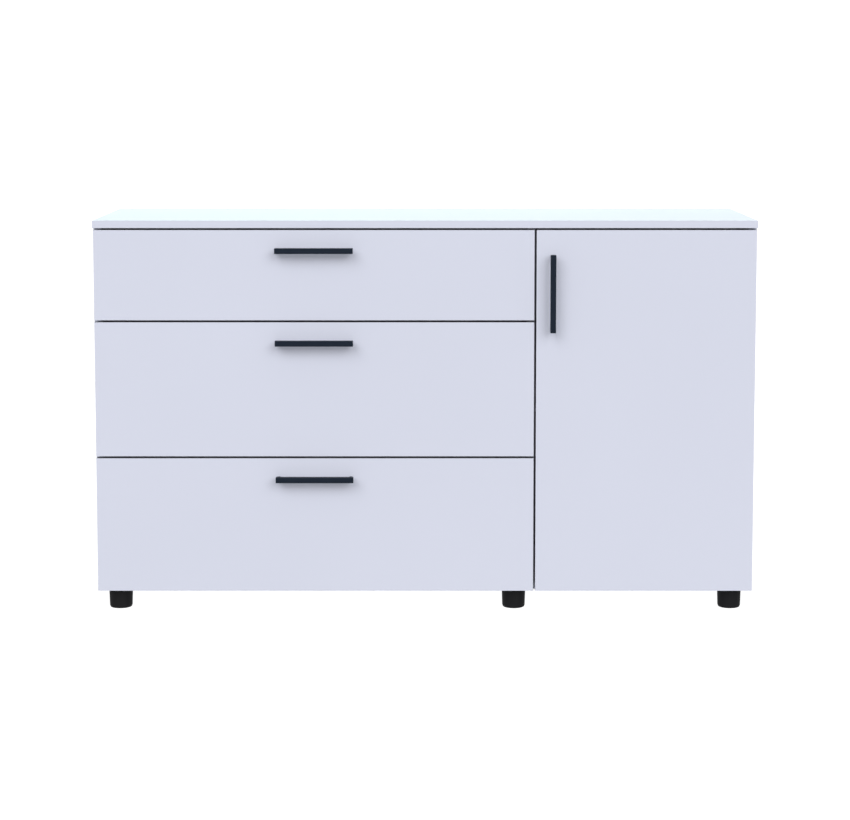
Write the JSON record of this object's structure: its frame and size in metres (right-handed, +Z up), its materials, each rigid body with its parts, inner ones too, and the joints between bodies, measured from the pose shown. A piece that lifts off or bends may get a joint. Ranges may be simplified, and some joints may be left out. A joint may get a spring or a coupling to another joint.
{
  "type": "sideboard buffet",
  "caption": "Low white sideboard with a column of drawers on telescopic runners beside a hinged cupboard door, slim black bow handles and short round tapered feet.",
  "frame": {"origin": "middle of the whole object's box, handles included, at floor level", "axes": "+X to the viewer's right along the width, +Y from the fronts towards the wall, +Z up"},
  "size_m": [1.4, 0.45, 0.837],
  "materials": {
    "white_board": "satin white melamine-faced particleboard with matching edge band",
    "hardboard": "pale printed thin fibreboard",
    "handle_black": "fine matt black powder coat",
    "foot_black": "moulded satin black plastic",
    "zinc": "zinc-plated pressed steel"
  },
  "bodies": {
    "carcass": {"top_panel": "white_board", "bottom_panel": "white_board", "left_side_panel": "white_board", "right_side_panel": "white_board", "centre_divider": "white_board", "back_board": "hardboard", "shelf": "white_board", "foot_front_left": "foot_black", "foot_front_centre": "foot_black", "foot_front_right": "foot_black", "foot_rear_left": "foot_black", "foot_rear_centre": "foot_black", "foot_rear_right": "foot_black", "drawer_top_runner_left_cabinet": "zinc", "drawer_top_runner_right_cabinet": "zinc", "drawer_middle_runner_left_cabinet": "zinc", "drawer_middle_runner_right_cabinet": "zinc", "drawer_bottom_runner_left_cabinet": "zinc", "drawer_bottom_runner_right_cabinet": "zinc", "hinge_lower_plate": "zinc", "hinge_lower_arm": "zinc", "hinge_upper_plate": "zinc", "hinge_upper_arm": "zinc"},
    "drawer_top": {"drawer_top_front": "white_board", "drawer_top_handle": "handle_black", "drawer_top_box_left": "white_board", "drawer_top_box_right": "white_board", "drawer_top_box_rear": "white_board", "drawer_top_box_bottom": "hardboard", "drawer_top_runner_left_drawer": "zinc", "drawer_top_runner_right_drawer": "zinc"},
    "drawer_top_runner_middles": {"drawer_top_runner_left_middle": "zinc", "drawer_top_runner_right_middle": "zinc"},
    "drawer_middle": {"drawer_middle_front": "white_board", "drawer_middle_handle": "handle_black", "drawer_middle_box_left": "white_board", "drawer_middle_box_right": "white_board", "drawer_middle_box_rear": "white_board", "drawer_middle_box_bottom": "hardboard", "drawer_middle_runner_left_drawer": "zinc", "drawer_middle_runner_right_drawer": "zinc"},
    "drawer_middle_runner_middles": {"drawer_middle_runner_left_middle": "zinc", "drawer_middle_runner_right_middle": "zinc"},
    "drawer_bottom": {"drawer_bottom_front": "white_board", "drawer_bottom_handle": "handle_black", "drawer_bottom_box_left": "white_board", "drawer_bottom_box_right": "white_board", "drawer_bottom_box_rear": "white_board", "drawer_bottom_box_bottom": "hardboard", "drawer_bottom_runner_left_drawer": "zinc", "drawer_bottom_runner_right_drawer": "zinc"},
    "drawer_bottom_runner_middles": {"drawer_bottom_runner_left_middle": "zinc", "drawer_bottom_runner_right_middle": "zinc"},
    "door": {"door_panel": "white_board", "door_handle": "handle_black", "hinge_lower_cup": "zinc", "hinge_upper_cup": "zinc"},
    "hinge_lower_link": {"hinge_lower_link": "zinc"},
    "hinge_upper_link": {"hinge_upper_link": "zinc"}
  },
  "joints": [
    {"name": "drawer_top_slide", "type": "slide", "parent": "carcass", "child": "drawer_top", "axis": [0, -1, 0], "range_m": [0, 0.33]},
    {"name": "drawer_top_runner_slide", "type": "slide", "parent": "carcass", "child": "drawer_top_runner_middles", "axis": [0, -1, 0], "range_m": [0, 0.165]},
    {"name": "drawer_middle_slide", "type": "slide", "parent": "carcass", "child": "drawer_middle", "axis": [0, -1, 0], "range_m": [0, 0.33]},
    {"name": "drawer_middle_runner_slide", "type": "slide", "parent": "carcass", "child": "drawer_middle_runner_middles", "axis": [0, -1, 0], "range_m": [0, 0.165]},
    {"name": "drawer_bottom_slide", "type": "slide", "parent": "carcass", "child": "drawer_bottom", "axis": [0, -1, 0], "range_m": [0, 0.33]},
    {"name": "drawer_bottom_runner_slide", "type": "slide", "parent": "carcass", "child": "drawer_bottom_runner_middles", "axis": [0, -1, 0], "range_m": [0, 0.165]},
    {"name": "door_hinge", "type": "hinge", "parent": "carcass", "child": "door", "pos_m": [0.694, -0.187, 0.045], "axis": [0, 0, 1], "range_deg": [0, 100]},
    {"name": "hinge_lower_link_turn", "type": "hinge", "parent": "carcass", "child": "hinge_lower_link", "pos_m": [0.674, -0.186, 0.145], "axis": [0, 0, 1], "range_deg": [-50, 0]},
    {"name": "hinge_upper_link_turn", "type": "hinge", "parent": "carcass", "child": "hinge_upper_link", "pos_m": [0.674, -0.186, 0.717], "axis": [0, 0, 1], "range_deg": [-50, 0]}
  ],
  "couplings": [
    {"joint": "drawer_top_runner_slide", "follows": "drawer_top_slide", "ratio": 0.5},
    {"joint": "drawer_middle_runner_slide", "follows": "drawer_middle_slide", "ratio": 0.5},
    {"joint": "drawer_bottom_runner_slide", "follows": "drawer_bottom_slide", "ratio": 0.5},
    {"joint": "hinge_lower_link_turn", "follows": "door_hinge", "ratio": -0.5},
    {"joint": "hinge_upper_link_turn", "follows": "door_hinge", "ratio": -0.5}
  ]
}
